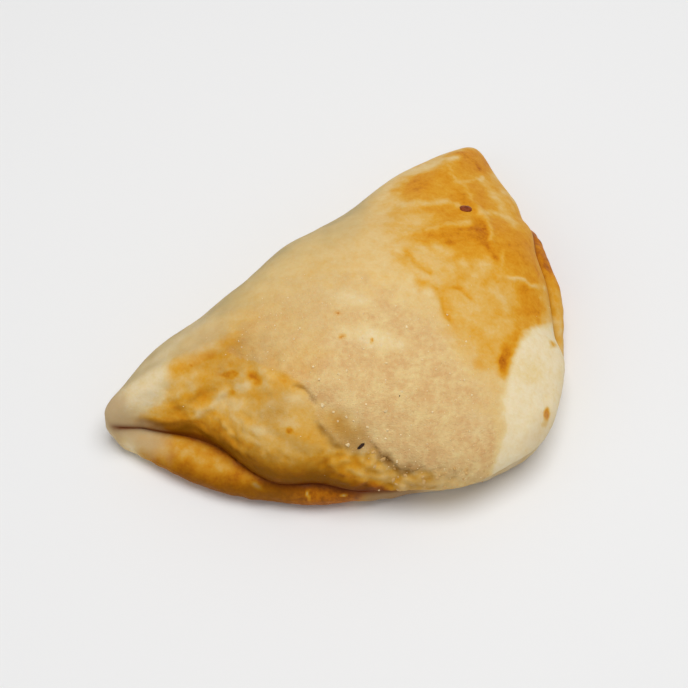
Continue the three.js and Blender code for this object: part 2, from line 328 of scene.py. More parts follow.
# Pale smears on it, laid over its dark foot.
LIP_SMEARS = (
    ("white smear, left", 0.3, -25.6, -34.1, 1.4, 0.8, -30, 0.9),
    ("white smear, middle", 0.24, -10.3, -36.4, 0.4, 1.4, 0, 0.9),
    ("white smear, right", 0.04, 0, -36.3, 0.8, 0.5, 0, 0.9),
)

# How much of the lip's width is dark at its foot, with browning and painted shade, by the angle round the
# rim.
DARK_FOOT = (
    (204, -0.3), (206.5, 0.05), (209, 0.33), (216, 0.42), (226, 0.52), (238, 0.66), (250, 1.4), (270, 1.4),
    (281, -0.4),
)

# The boundary of the raw pale corner, from its top to its bottom.
CORNER_EDGE = (
    (67.2, 14.8), (59.3, 13.7), (54.9, 11.6), (52.1, 7.6), (49.8, 4.1), (49.4, 1.7), (47.7, -3.8),
    (46.1, -8), (45.8, -13.1), (46.7, -16.8), (45.4, -21.7), (42.6, -30),
)

# How far up the face the corner reaches, fading over so much.
CORNER_TOP, CORNER_TOP_SOFTNESS = 15.5, 4

# Spots on the pale corner, laid over it.
CORNER_SPOTS = (
    ("amber spot by the edge", 0.8, 60.1, -13.4, 1, 1.9, -15, 0.4),
    ("spot under it", 0.4, 59.1, -16, 1, 0.8, 0, 0.6),
    ("brown mark by the seam", 0.6, 62.8, 7.5, 0.9, 0.9, -40, 0.8),
    ("peach of the corner", 0.14, 54.8, -0.7, 4.2, 3.6, 0, 0.9),
)

# The boundary of the smooth left tip, from its bottom to its top.
LEFT_TIP_EDGE = (
    (-62.4, -15.2), (-58.9, -12.1), (-54.8, -9.8), (-53, -6.8), (-51.5, -2.7), (-52.3, 0.5), (-50.7, 4.9),
    (-47.3, 9), (-40, 14.1),
)
LEFT_TIP_SOFTNESS = 4

# The sugared crust: cover, across, up, long, wide, turn, softness.
CRUST_PATCHES = (
    ("middle", 1, 8, -1, 38, 25, -18, 0.3),
    ("front right", 1, 30, -24, 22, 12, -4, 0.3),
    ("left of the middle", 0.75, -16, 10, 20, 11, 38, 0.5),
    ("washed right side", 0, 50, 22, 26, 19, -65, 0.5),
    ("washed front", 0.1, -22, -25, 22, 7, -22, 0.4),
    ("thin over the middle", 0.45, 2.5, 21, 6, 2.2, -8, 0.9),
    ("thin below it", 0.4, 10, 9.5, 9, 2.2, -15, 0.9),
    ("thin over the crust's foot", 0.55, -2, -15.5, 7, 3.4, -30, 0.9),
)

# Where the crust's slab ends in a step, with the crust on its left-hand side.
SLAB_EDGE = (
    (5.8, -20.2), (7.7, -20.2), (9.2, -21.7), (10.8, -23.8), (12.6, -25),
    (14.2, -26.4), (15.6, -27.9), (18.5, -28.6), (20.7, -28.5), (23.1, -27.2), (26, -27.5),
)
SLAB_STEP = 0.5
SLAB_FADE = 5
SLAB_UNDERCUT = 0.12
SLAB_UNDERCUT_REACH = 1.6

# Where the sugared crust gives way to glazed dough, with the crust on its left-hand side.
CRUST_FOOT = (
    (-23.7, 1.4), (-17, -1.1), (-12, -4.7), (-9.5, -9.3), (-7.5, -15.7), (-4, -19.3), (0.3, -22.3),
    (5.1, -23.5), (8.6, -22.2), (10.4, -24.3), (14, -26.9), (18.6, -28.9), (21.8, -28.5), (25.5, -28.5),
    (29.1, -30), (33, -31.8),
)
CRUST_FOOT_SOFTNESS = 2.4

# How much of the crust is gone below its foot, how far that goes, and over how much it fades.
THINNED_BY, THINNED_REACH, THINNED_FADE = 0.75, 16, 8

# Olive-brown painted shade: depth, across, up, long, wide, turn, softness.
PAINTED_SHADE_PATCHES = (
    ("shade left of the crust", 0.25, -32, 4, 10, 7, 20, 0.9),
    ("shade left of the wrinkle", 0.3, -21.4, -8.5, 5, 4, 0, 0.8),
    ("shade over the crust's foot", 0.36, 0.5, -16.5, 7, 4, -30, 0.9),
    ("shade of the wrinkle", 0.12, -8, -9, 5, 5, 0, 0.9),
    ("shade of the front", 0.2, 20, -30.5, 18, 5, -3, 0.8),
    ("shade at the front's foot", 0.3, 21, -33.5, 13, 1.8, 4, 0.9),
    ("shade round the speck", 0.4, 3.6, -21.6, 4.5, 3, -10, 0.9),
    ("under the scallop's edge", 0.65, 17, -27.9, 2.6, 1.2, -10, 0.8),
    ("over the crease, middle", 0.4, -18.1, -26.8, 10.1, 2.7, -12, 0.6),
    ("over the crease, left", 0.3, -34.7, -20.3, 13.1, 2.7, -26, 0.7),
    ("under the crust's left", 0.25, -12.8, -21.7, 7.1, 2.4, -20, 0.8),
    ("left of the crust", 0.22, -19.9, -12.8, 4.2, 4.2, 0, 0.8),
    ("by the scallop", 0.75, 12.4, -25.3, 3.2, 1.7, -40, 0.7),
)

# Thin lines of painted shade in it: depth, half width, points.
PAINTED_SHADE_LINES = (
    ("wrinkle in the crust", 0.7, 0.55, CRUST_WRINKLE),
    ("shade at the crust's foot", 0.75, 1.1, CRUST_STEP),
    (
        "under the scallop", 0.85, 1.3,
        (
            (8.2, -21.2), (10, -23.9), (12.1, -25.7), (13.9, -27.2), (15.8, -28.6), (18.9, -29.3),
            (22.6, -28.4),
        ),
    ),
)

# How far the painted shade climbs over the front crease, and how much further where it is deep.
SHADE_REACH = 5
DEEP_SHADE_REACH = 6

# Grey-beige patches, partly floury dough and partly painted shade: cover, across, up, long, wide, turn,
# softness.
FLOUR_AND_SHADE_PATCHES = (
    ("end of the left tip", 0.75, -68, -14, 4.6, 8, 0, 0.6),
    ("lip by the left tip", 0.8, -60, -20, 8, 4, -30, 0.6),
    ("grey of the shoulder", 0.22, -12.8, 17.6, 14, 9, 40, 0.9),
    ("grey over the gold", 0.38, -42, 9, 8, 4, 35, 0.9),
    ("grey by the fold", 0.14, 5, 39, 20, 9, 38, 0.9),
    ("grey under the corner", 0.35, 58, -18, 6, 3, 45, 0.8),
)

# Pressed and raised lines: rise, half width, points.
FINE_LINES = (
    ("wrinkle in the crust", -0.4, 0.7, CRUST_WRINKLE),
    ("step at the crust's foot", -0.3, 1, CRUST_STEP),
    (
        "ridge from the blister", 0.5, 0.9,
        ((40.4, 51.9), (41.5, 50.2), (43, 48), (44.6, 44.9), (45.2, 41.9), (44.8, 38.3)),
    ),
    ("hollow left of the ridge", -0.45, 1.5, ((40.4, 47.4), (42.2, 43.9), (43.3, 39.9))),
    ("vein across the tip", 0.25, 1, TIP_VEIN),
    ("vein below it", 0.25, 1, MIDDLE_VEIN),
    ("lower vein", 0.3, 0.8, LOWER_VEIN),
    ("hollow above the lower vein", -0.3, 2, ((46, 30.6), (51, 30.8), (56.9, 29.3))),
    ("pale band", 0.25, 2, PALE_BAND),
    ("crinkle, left", -0.3, 0.7, LEFT_CRINKLE),
    ("crinkle, right", -0.3, 0.6, ((27.2, 26.8), (30.5, 25.7), (33, 24.9), (35.4, 24), (37.6, 21.2))),
    ("crinkle, low", -0.35, 0.6, LOW_CRINKLE),
    ("wrinkle of the corner", -0.3, 0.8, ((57.4, -6.6), (58.8, -7.2), (59.8, -8))),
    ("cream stroke", 0.4, 1.2, CREAM_STROKE),
    ("fold over the stroke", -0.4, 1, ((-49.4, -12.5), (-45.7, -10.7), (-42.1, -8.7), (-38.7, -6))),
    ("pleat over the crease", -0.2, 1.2, ((-43.4, -15.9), (-38, -16.6), (-32.5, -19.6), (-27.2, -23.8))),
)

# Dents and blisters of the skin: rise, across, up, long, wide, turn.
FINE_SPOTS = (
    ("left fleck's hollow", -0.5, -32.9, -1.4, 2.7, 1.5, 5),
    ("right fleck's hollow", -0.6, -25.9, -2.4, 3, 1.8, -50),
    ("rim of the right fleck", 0.5, -22.6, -0.6, 1.5, 2.4, 30),
    ("puff by the fold", 0.4, -38, -0.6, 3.6, 1.8, 30),
    ("puff between the flecks", 0.45, -29.8, -5.1, 3, 2.1, 20),
    ("dent below the flecks", -0.5, -35.4, -8.6, 2.7, 1.5, 20),
    ("dent left of the crust", -0.5, -17.8, -6.4, 2.4, 1.8, -60),
    ("puff left of the crust", 0.4, -21.9, -11.3, 3.6, 2.4, -30),
    ("dent over the front", -0.5, -19.4, -18.9, 3, 1.5, -20),
    ("rise over the front", 0.4, -27.1, -16.7, 4.2, 2.1, -30),
    ("rise over the caramel", 0.4, -9.1, -21.1, 4.2, 2.1, -10),
    ("pit under the crust's foot", -0.4, -3.2, -25.7, 3, 1.5, -10),
)

# Rough and crumpled stretches: across, up, long, wide, turn, softness.
ROUGH_FRONT = (14, -29, 24, 8, -3, 0.5)
ROUGH_LEFT = (-33, -20, 24, 5, -27, 0.7)
CRUMPLED_LEFT = (-33, -6, 26, 13, 20, 0.5)
CRUMPLED_BACK = (24, 30, 12, 12, 0, 0.5)

# Unevenness, in layers: by so much, with swells about so long, and a seed. The wavering and the ragged
# edges keep the marks from looking drawn, and the last five layers are relief.
WAVERING_ACROSS = ((0.6, 5, 1), (0.5, 2, 3))
WAVERING_UP = ((0.6, 5, 2), (0.5, 2, 4))
RAGGED_EDGES = ((0.22, 3.5, 16), (0.08, 1.8, 17))
BROKEN_LINES = ((0.9, 4, 18),)
GRAIN = ((1, 4.5, 5),)
BROAD = ((1, 14, 6),)
LIP_MOTTLE = ((0.14, 2.8, 22),)
ROUGHNESS = ((0.7, 3.4, 20), (0.5, 1.9, 21))
CRUMPLES = ((0.6, 6.5, 9), (0.5, 3, 10))
CRUST_GRIT = ((1, 3.2, 7), (0.7, 1.9, 8))
GLAZE_RELIEF = ((0.1, 4, 11),)
CRUMPLE_GRIT = ((0.1, 1.7, 19),)
LIP_RELIEF = ((0.4, 8, 12), (0.35, 3.4, 13))
BACK_RELIEF = ((0.3, 12, 14), (0.1, 4, 15))

# Parts of the rim: from an angle, rising over so many degrees, to an angle, falling over so many.
BROWNED_FRONT = (201, 9, 292, 12)
# Painted shade lies over the front crease, and deepens over part of it.
SHADED_FRONT = (200.5, 4, 284, 14)
DEEPLY_SHADED_FRONT = (228, 12, 276, 12)
SHADED_LIP = (206, 10, 284, 20)
# Under the bulge, painted shade lies on the lip.
SHADE_UNDER_THE_BULGE = (272, 8, 345, 20)
KHAKI_AND_SHADED_BACK = (72, 16, 204, 10)
SCORCHED_AND_SHADED_FLANGE = (6, 6, 40, 8)

# How far from the creases and edges their browning, and their scorch with its painted crease shade, fade.
FRONT_HEAT, SIDE_HEAT, SIDE_EDGE_HEAT = 2.2, 2, 1.2
FRONT_SCORCH_AND_SHADE, SIDE_SCORCH_AND_SHADE, FLANGE_SCORCH_AND_SHADE = 1.8, 1.9, 0.8

# ---------------------------------------------------------------------------------------------
# Colours, as sRGB bytes.

BAKE_COLOURS = (
    (0.0, (236, 219, 182)),
    (0.16, (230, 205, 150)),
    (0.33, (226, 192, 128)),
    (0.5, (222, 174, 86)),
    (0.64, (219, 157, 44)),
    (0.76, (212, 139, 20)),
    (0.88, (186, 106, 8)),
    (1.0, (122, 66, 4)),
)
CRUST_CREAM = (234, 206, 146)
CRUST_PEACH = (218, 174, 117)
# The grey-beige of floury dough, also laid on as painted shade.
FLOUR_AND_SHADE_GREY = (190, 161, 119)
# The khaki of the fold's back, partly its greyish dough and partly painted shade.
FOLD_KHAKI_AND_SHADE = (190, 168, 118)
# The dark of scorched creases, with the painted shade in them.
SCORCH_AND_SHADE_BROWN = (106, 45, 2)
# The olive-brown of the painted shade.
SHADE_OLIVE_BROWN = (132, 82, 0)


def smooth(share):
    """Eases 0 to 1."""
    share = np.clip(share, 0, 1)
    return share * share * (3 - 2 * share)


def fading(off, over):
    """1 at no distance, and fading to 0 over so much."""
    return np.exp(-((off / over) ** 2))


def turn_from(angle, at):
    return (angle - at + 180) % 360 - 180


def swell(angle, at, over):
    return fading(turn_from(angle, at), over)


def on_part(angle, part):
    """1 over a part of the rim, rising after its start and falling before its end."""
    start, rise, end, fall = part
    return smooth((angle - start) / rise) * smooth((end - angle) / fall)


def read_off(pairs, at):
    """The second number of a table's pairs, at a first number between theirs."""
    firsts, seconds = zip(*pairs)
    return np.interp(at, firsts, seconds)


def stretch(angle, seam):
    """1 along a seam, and fading to 0 past its ends."""
    start, end, fade_in, fade_out, _ = seam
    half = (end - start) % 360 / 2
    along = turn_from(angle, start + half)
    return smooth(1 + (half + along) / fade_in) * smooth(1 + (half - along) / fade_out)


def rim_reach(angle):
    crowding = 0
    for _, faces, reach in SIDES:
        facing = np.cos(np.radians(angle - faces))
        crowding = crowding + (np.maximum(facing, 0) / reach) ** CORNER_SHARPNESS
    swells = sum(by * swell(angle, at, over) for _, at, over, by in RIM_SWELLS)
    return crowding ** (-1 / CORNER_SHARPNESS) + swells


class Section:
    """The reaches and heights that the section at each angle is drawn through."""

    def __init__(self, angle):
        ledge = sum(by * swell(angle, at, over) for _, at, over, by in LEDGES)
        overhang = sum(by * swell(angle, at, over) for _, at, over, by in OVERHANGS)
        self.front_sealed = stretch(angle, FRONT_SEAM)
        self.side_sealed = stretch(angle, SIDE_SEAM)
        self.sealed = self.front_sealed + self.side_sealed
        groove = FRONT_SEAM[-1] * self.front_sealed + SIDE_SEAM[-1] * self.side_sealed
        lip_shift = sum(lip * swell(angle, at, over) for _, at, over, lip, _ in HEIGHT_SHIFTS)
        brow_shift = sum(brow * swell(angle, at, over) for _, at, over, _, brow in HEIGHT_SHIFTS)
        self.rim = rim_reach(angle)
        self.lip = self.rim - overhang
        self.brow = self.rim - self.sealed * ledge
        self.seam = np.minimum(self.lip, self.brow) - groove
        self.lip_height = FOLD_LOW_HEIGHT + (LIP_HEIGHT - FOLD_LOW_HEIGHT) * self.sealed + lip_shift
        self.brow_height = FOLD_HIGH_HEIGHT + (BROW_HEIGHT - FOLD_HIGH_HEIGHT) * self.sealed + brow_shift
        self.seam_height = self.lip_height + SEAM_SHARE * (self.brow_height - self.lip_height)

    def underside(self, share):
        return share * (self.lip - TUCK), 0 * share

    def tuck(self, share):
        turn = share * math.pi / 2
        return self.lip - TUCK * (1 - np.sin(turn)), self.lip_height * (1 - np.cos(turn))

    def lower_sheet(self, share):
        turn = share * math.pi / 2
        reach = self.seam + (self.lip - self.seam) * np.cos(turn)
        return reach, self.lip_height + (self.seam_height - self.lip_height) * np.sin(turn)

    def upper_sheet(self, share):
        turn = share * math.pi / 2
        reach = self.seam + (self.brow - self.seam) * np.sin(turn)
        return reach, self.brow_height + (self.seam_height - self.brow_height) * np.cos(turn)

    def dome(self, share):
        out = np.cos(share * math.pi / 2)
        rise = (1 - out**DOME_POWER) ** DOME_FULLNESS
        contour = DOME_SPREAD + (self.rim - DOME_SPREAD) * out**DOME_HOLD
        reach = out * contour - (self.rim - self.brow) * out**DOME_LEDGE_HOLD
        return reach, self.brow_height + (CROWN_HEIGHT - self.brow_height) * rise


def share_round(x, y):
    """How far round a square ring a point is, as a share from 0 to 1."""
    reach = np.maximum(np.abs(x), np.abs(y))
    reach[reach == 0] = 1
    u, v = x / reach, y / reach
    sides = [(u == 1) & (v > -1), v == 1, u == -1]
    return np.select(sides, [(v + 1) / 8, (3 - u) / 8, (5 - v) / 8], (7 + u) / 8 % 1)


def angle_round(share):
    """The angle that is that share of the way along the rim, from +X."""
    steps = np.radians(np.linspace(0, 360, RIM_STEPS + 1))
    reach = rim_reach(np.degrees(steps))
    x, y = reach * np.cos(steps), reach * np.sin(steps)
    along = np.concatenate([[0], np.cumsum(np.hypot(np.diff(x), np.diff(y)))])
    share = share * along[-1]
    return np.degrees(np.arctan2(np.interp(share, along, y), np.interp(share, along, x))) % 360


def fine_cube():
    """A cube of fine quads, with its rows up the sides and its columns round them."""
    rows = TUCK_ROWS + LIP_ROWS + BROW_ROWS + FLANK_ROWS
    bm = bmesh.new()
    bmesh.ops.create_cube(bm, size=2)
    upright = [e for e in bm.edges if abs(e.verts[0].co.z - e.verts[1].co.z) > 1]
    bmesh.ops.subdivide_edges(bm, edges=upright, cuts=rows - 1)
    level = [e for e in bm.edges if abs(e.verts[0].co.z - e.verts[1].co.z) < 1 / rows]
    bmesh.ops.subdivide_edges(bm, edges=level, cuts=COLUMNS_A_SIDE - 1, use_grid_fill=True)
    return bm, rows


def relief(x, y):
    """How far the broad swells raise the upper sheet at each place."""
    raised = 0
    for _, at_x, at_y, long, wide, turn, by in RELIEF:
        raised = raised + by * fading(turned(x - at_x, y - at_y, long, wide, turn), 1)
    across = (x * (1 + LUMP_SKEW) + y) / LUMP_LENGTH
    along = (y * (1 + LUMP_SKEW) - x) / LUMP_LENGTH
    return raised + LUMP_BY * np.sin(across) * np.sin(along)


def turned(x, y, long, wide, turn):
    """Distance from the middle of an oval, as a share of its reach that way."""
    c, s = math.cos(math.radians(turn)), math.sin(math.radians(turn))
    return np.hypot((x * c + y * s) / long, (y * c - x * s) / wide)


def places(mesh):
    co = np.empty(3 * len(mesh.vertices))
    mesh.vertices.foreach_get("co", co)
    return co.reshape(-1, 3)


def put(mesh, co):
    mesh.vertices.foreach_set("co", np.ascontiguousarray(co, dtype=np.float32).ravel())
    mesh.update()


def outward(mesh):
    normals = np.empty(3 * len(mesh.vertices))
    mesh.vertex_normals.foreach_get("vector", normals)
    return normals.reshape(-1, 3)


def through(points, steps=10):
    """A smooth curve through the points."""
    points = np.array(points, float)
    padded = np.vstack([2 * points[0] - points[1], points, 2 * points[-1] - points[-2]])
    t = np.linspace(0, 1, steps, endpoint=False)[:, None]
    spans = []
    for a, b, c, d in zip(padded, padded[1:], padded[2:], padded[3:]):
        squared, cubed = 2 * a - 5 * b + 4 * c - d, 3 * b - a - 3 * c + d
        spans.append(0.5 * (2 * b + (c - a) * t + squared * t**2 + cubed * t**3))
    return np.vstack([*spans, points[-1:]])


def from_line(across, up, points):
    """Distance from a curve, the side of it, 1 for its left and -1 for its right, and the share along it."""
    curve = through(points)
    best = np.full(len(across), 1e9)
    nearest = np.zeros(len(across), int)
    for k, (a, u) in enumerate(curve):
        d = (across - a) ** 2 + (up - u) ** 2
        closer = d < best
        best[closer] = d[closer]
        nearest[closer] = k
    heading = np.gradient(curve, axis=0)[nearest]
    off = np.stack([across, up], 1) - curve[nearest]
    side = np.sign(heading[:, 0] * off[:, 1] - heading[:, 1] * off[:, 0])
    return np.sqrt(best), side, nearest / (len(curve) - 1)


class Skin:
    """The turnover's skin in crown coordinates, and what the marks go by at each of its vertices."""

    def __init__(self):
        bm, rows = fine_cube()
        self.mesh = bpy.data.meshes.new("skin")
        bm.to_mesh(self.mesh)
        bm.free()
        self.draw(rows)
        self.place_on_face()
        self.roughen()

    def draw(self, rows):
        """Puts each vertex where its section and the broad swells have it."""
        grid = places(self.mesh)
        x, y = (2 * np.round((grid[:, k] + 1) / 2 * COLUMNS_A_SIDE) / COLUMNS_A_SIDE - 1 for k in (0, 1))
        row = np.round((grid[:, 2] + 1) / 2 * rows)
        ring = np.maximum(np.abs(x), np.abs(y))
        self.angle = angle_round(share_round(x, y))
        self.section = section = Section(self.angle)
        on_lip = TUCK_ROWS + LIP_ROWS
        on_brow = on_lip + BROW_ROWS
        kinds = [row == 0, row == rows, row < TUCK_ROWS, row < on_lip, row < on_brow]
        shares = [
            ring,
            1 - (1 - FLANK_SHARE) * ring,
            row / TUCK_ROWS,
            (row - TUCK_ROWS) / LIP_ROWS,
            (row - on_lip) / BROW_ROWS,
        ]
        share = np.select(kinds, shares, FLANK_SHARE * (row - on_brow) / FLANK_ROWS)
        shapes = [section.underside, section.dome, section.tuck, section.lower_sheet, section.upper_sheet]
        drawn = [shape(share) for shape in shapes]
        flank_reach, flank_height = section.dome(share)
        self.reach = np.select(kinds, [reach for reach, _ in drawn], flank_reach)
        self.height = np.select(kinds, [height for _, height in drawn], flank_height)
        self.outwards = np.cos(np.radians(self.angle)), np.sin(np.radians(self.angle))
        self.co = np.stack([self.reach * self.outwards[0], self.reach * self.outwards[1], self.height], 1)
        put(self.mesh, self.co)
        self.underside = row == 0
        self.lower = (row < on_lip) & (row > 0)
        self.upper = np.select(kinds, [0, 1, 0, 0, share], 1.0)
        self.co += outward(self.mesh) * (relief(self.co[:, 0], self.co[:, 1]) * self.upper)[:, None]
        put(self.mesh, self.co)
        self.middle = (self.co.min(0) + self.co.max(0)) / 2
        self.middle[2] = 0
        self.from_seam = np.hypot(self.reach - section.seam, self.height - section.seam_height)

    def place_on_face(self):
        """Finds each vertex's place on the face, and what is broken, grained, corner or left tip there."""
        self.normals = outward(self.mesh)
        tilt = math.radians(FACE_TILT)
        self.facing = self.normals @ np.array([0, -math.cos(tilt), math.sin(tilt)])
        self.seen = smooth((self.facing + 0.02) / 0.25) * ~self.underside
        self.climb = self.co[:, 1] * math.sin(tilt) + self.co[:, 2] * math.cos(tilt)
        self.across = self.co[:, 0] + self.uneven(WAVERING_ACROSS)
        self.up = self.climb + self.uneven(WAVERING_UP)
        self.ragged = self.uneven(RAGGED_EDGES)
        self.broken = np.clip(0.75 + self.uneven(BROKEN_LINES), 0.2, 1)
        self.grain = self.uneven(GRAIN)
        self.broad = self.uneven(BROAD)
        corner_fade = 3 + 3 * smooth((self.up - 5) / 7)
        corner_inside = self.across - self.edge_at(CORNER_EDGE)
        self.corner = smooth(corner_inside / corner_fade + 0.5)
        self.corner *= smooth((CORNER_TOP - self.up) / CORNER_TOP_SOFTNESS)
        tip_inside = self.edge_at(LEFT_TIP_EDGE) - self.across
        self.left_tip = smooth(tip_inside / LEFT_TIP_SOFTNESS + 0.5)

    def roughen(self):
        """Finds the slab's edge, and where the glaze is crumpled and the dough is rough."""
        self.slab_off, self.slab_side, along = from_line(self.across, self.up, SLAB_EDGE)
        self.slab_ends = smooth(along * 5) * smooth((1 - along) * 6)
        front = self.oval(ROUGH_FRONT) * np.where(self.slab_side > 0, np.exp(-self.slab_off), 1)
        rough = np.maximum(front, 0.7 * self.oval(ROUGH_LEFT))
        self.rough = rough * self.uneven(ROUGHNESS)
        self.crumple = self.oval(CRUMPLED_LEFT) + 0.5 * self.oval(CRUMPLED_BACK)
        self.crumpled = self.crumple * self.uneven(CRUMPLES)

    def uneven(self, layers):
        """Smooth noise about 0, at each vertex."""
        total = 0
        for by, length, seed in layers:
            shift = Vector((seed * 17.3, seed * 5.1, seed * 9.7))
            values = (noise.noise(Vector(p) / length + shift) for p in self.co)
            total = total + by * np.fromiter(values, float, len(self.co))
        return total

    def edge_at(self, edge):
        """How far across a boundary of the face is, at each vertex's height up it."""
        return read_off(sorted((up, across) for across, up in edge), self.up)

    def oval(self, oval, ragged=0):
        """1 in an oval, and fading to 0 over its soft and ragged edge."""
        at_across, at_up, long, wide, turn, soft = oval
        off = turned(self.across - at_across, self.up - at_up, long, wide, turn) * (1 + ragged)
        return smooth((1 + soft - off) / (2 * soft))

    def line(self, half_width, points):
        """1 on a curve, and fading to 0 beside it."""
        off, _, _ = from_line(self.across, self.up, points)
        return fading(off, half_width)

    def painted(self, start, patches):
        """Lays each patch over the ones before it."""
        for _, level, *oval in patches:
            start = start + (level - start) * self.oval(oval, self.ragged)
        return start

    def finish(self, marks, rise):
        """Keeps the marks as attributes, adds the fine relief and fills the seams' bottoms."""
        for name, values in marks.items():
            layer = self.mesh.attributes.new(name, "FLOAT", "POINT")
            layer.data.foreach_set("value", np.clip(values, 0, 1).astype(np.float32))
        self.co += self.normals * rise[:, None]
        filled = SEAM_FILL * fading(self.from_seam, SEAM_FILL_REACH) * self.section.sealed
        for axis in (0, 1):
            self.co[:, axis] += filled * self.outwards[axis]
        self.co[:, 2] = np.maximum(self.co[:, 2], 0)
        put(self.mesh, self.co - self.middle)
        bm = bmesh.new()
        bm.from_mesh(self.mesh)
        bmesh.ops.triangulate(bm, faces=bm.faces, quad_method="BEAUTY", ngon_method="BEAUTY")
        bm.to_mesh(self.mesh)
        bm.free()
        self.mesh.polygons.foreach_set("use_smooth", np.ones(len(self.mesh.polygons), bool))


def crust_cover(skin):
    """Where the sugared crust is. It thins out below its foot, and the ends and the lip have none."""
    foot_off, foot_side, _ = from_line(skin.across, skin.up, CRUST_FOOT)
    below_foot = smooth(0.5 - foot_side * foot_off / CRUST_FOOT_SOFTNESS)
    below_foot *= smooth((THINNED_REACH - foot_off) / THINNED_FADE)
    cover = skin.painted(0.0, CRUST_PATCHES) * (1 - THINNED_BY * below_foot)
    cover *= (1 - skin.corner) * (1 - skin.left_tip) * skin.seen * (1 - skin.lower)
    return cover


def dark_foot(skin):
    """Where the lower sheet is dark, up from its foot in the crease: deep browning and painted shade
    together.
    """
    section = skin.section
    across_lip = (section.lip - skin.reach) / np.maximum(section.lip - section.seam, 1)
    dark = smooth((read_off(DARK_FOOT, skin.angle) - across_lip + 0.1 * skin.grain) / 0.6)
    return dark * smooth((skin.angle - 200) / 5) * skin.lower


def upper_browning(skin):
    bake = skin.painted(MIDDLE_BROWNING, BROWNING_PATCHES)
    for _, level, half_width, points in BROWNING_LINES:
        bake += (level - bake) * skin.line(half_width, points) * skin.broken
    bake += (0.05 * skin.grain + 0.04 * skin.broad) * (1 - skin.crust)
    # Painted shade and light: browner in the hollows of the crumples and the rough dough, and paler on their
    # crests, which the fine relief raises.
    bake -= 0.24 * skin.crumpled + 0.18 * skin.rough
    bake += (CORNER_BROWNING - bake) * skin.corner
    bake += (LEFT_TIP_BROWNING - bake) * skin.left_tip
    bake = skin.painted(bake, CORNER_SPOTS)
    by_the_tray = smooth((8 - skin.co[:, 2]) / 8)
    unseen = BACK_BROWNING + 0.1 * skin.broad + 0.05 * skin.grain + 0.3 * by_the_tray
    return unseen + (bake - unseen) * skin.seen


def lip_browning(skin, foot):
    bake = read_off(LIP_BROWNING, skin.angle) + 0.1 * skin.grain
    bake = skin.painted(bake, LIP_PATCHES) + skin.uneven(LIP_MOTTLE)
    bake += (LIP_FOOT_BROWNING_AND_SHADE - bake) * foot
    return skin.painted(bake, LIP_SMEARS)


def browning(skin, foot, over_brow):
    angle, section = skin.angle, skin.section
    bake = np.where(skin.lower, lip_browning(skin, foot), upper_browning(skin))
    front = on_part(angle, BROWNED_FRONT)
    bake += (OVER_CREASE_BROWNING - bake) * front * smooth((9 - over_brow) / 6) * smooth((284 - angle) / 14)
    red = smooth((angle - 236) / 22)
    bake += (CREASE_EDGE_BROWNING + 0.18 * red - bake) * front * fading(over_brow, 2 + 1.2 * red)
    heat = 0.9 * fading(skin.from_seam, FRONT_HEAT) * section.front_sealed * smooth((angle - 205) / 10)
    bake += (1 - bake) * heat
    heat = np.minimum(fading(skin.from_seam, SIDE_HEAT) + 0.7 * fading(over_brow, SIDE_EDGE_HEAT), 1)
    heat *= 0.8 * section.side_sealed * smooth(turn_from(angle, 4) / 12)
    bake += (SIDE_SEAM_BROWNING - bake) * heat
    return np.where(skin.underside, UNDERSIDE_BROWNING + 0.12 * skin.broad + 0.06 * skin.grain, bake)


def painted_olive_shade(skin, foot, over_brow, shade_under_bulge):
    """Painted shade in olive-brown: over the front crease, in the crust's hollows, and on the lip."""
    angle = skin.angle
    reach = SHADE_REACH + DEEP_SHADE_REACH * on_part(angle, DEEPLY_SHADED_FRONT)
    olive_shade = smooth((reach - over_brow) / (reach - 1.5)) * on_part(angle, SHADED_FRONT)
    olive_shade *= 1 - 0.1 * smooth((232 - angle) / 8)
    olive_shade = np.maximum(olive_shade, skin.painted(0.0, PAINTED_SHADE_PATCHES))
    for _, depth, half_width, points in PAINTED_SHADE_LINES:
        off, _, along = from_line(skin.across, skin.up, points)
        ends = 0.4 + 0.6 * smooth(along * 5) * smooth((1 - along) * 5)
        line = depth * fading(off, half_width) * ends * np.minimum(skin.broken + 0.2, 1)
        olive_shade = np.maximum(olive_shade, line)
    # The painted shade deepens in the rough dough's dips and thins on its crests.
    olive_shade = np.clip(olive_shade * (1 + 0.5 * skin.grain) - 0.3 * skin.rough, 0, 1)
    olive_shade *= (1 - skin.left_tip) * skin.seen
    # On the lip, the painted shade lies along it, over its dark foot and under the bulge.
    shade = 0.18 * on_part(angle, SHADED_LIP) + 0.6 * foot * smooth((262 - angle) / 16)
    shade += 0.8 * shade_under_bulge * smooth((302 - angle) / 10)
    return np.where(skin.lower, shade, olive_shade)


def khaki_and_shade_of_fold(skin):
    """Where the back of the fold is pale and khaki: partly greyish dough, and partly painted shade that is
    deepest where the flank turns from the front.
    """
    khaki_and_shade = smooth((0.93 - skin.facing) / 0.78) * on_part(skin.angle, KHAKI_AND_SHADED_BACK)
    khaki_and_shade *= smooth((skin.height - 3) / 12) * (0.4 + 0.6 * smooth((skin.facing + 0.55) / 0.5))
    return khaki_and_shade * (1 + 0.5 * skin.grain + 0.4 * skin.broad)


def flour_and_shade_cover(skin, shade_under_bulge):
    flour_and_shade = skin.painted(0.0, FLOUR_AND_SHADE_PATCHES) + 0.15 * skin.left_tip
    # Under the bulge this grey is painted shade.
    flour_and_shade = np.maximum(flour_and_shade, 0.5 * shade_under_bulge)
    return np.where(skin.underside, 0.2, flour_and_shade * (1 + 0.12 * skin.grain))


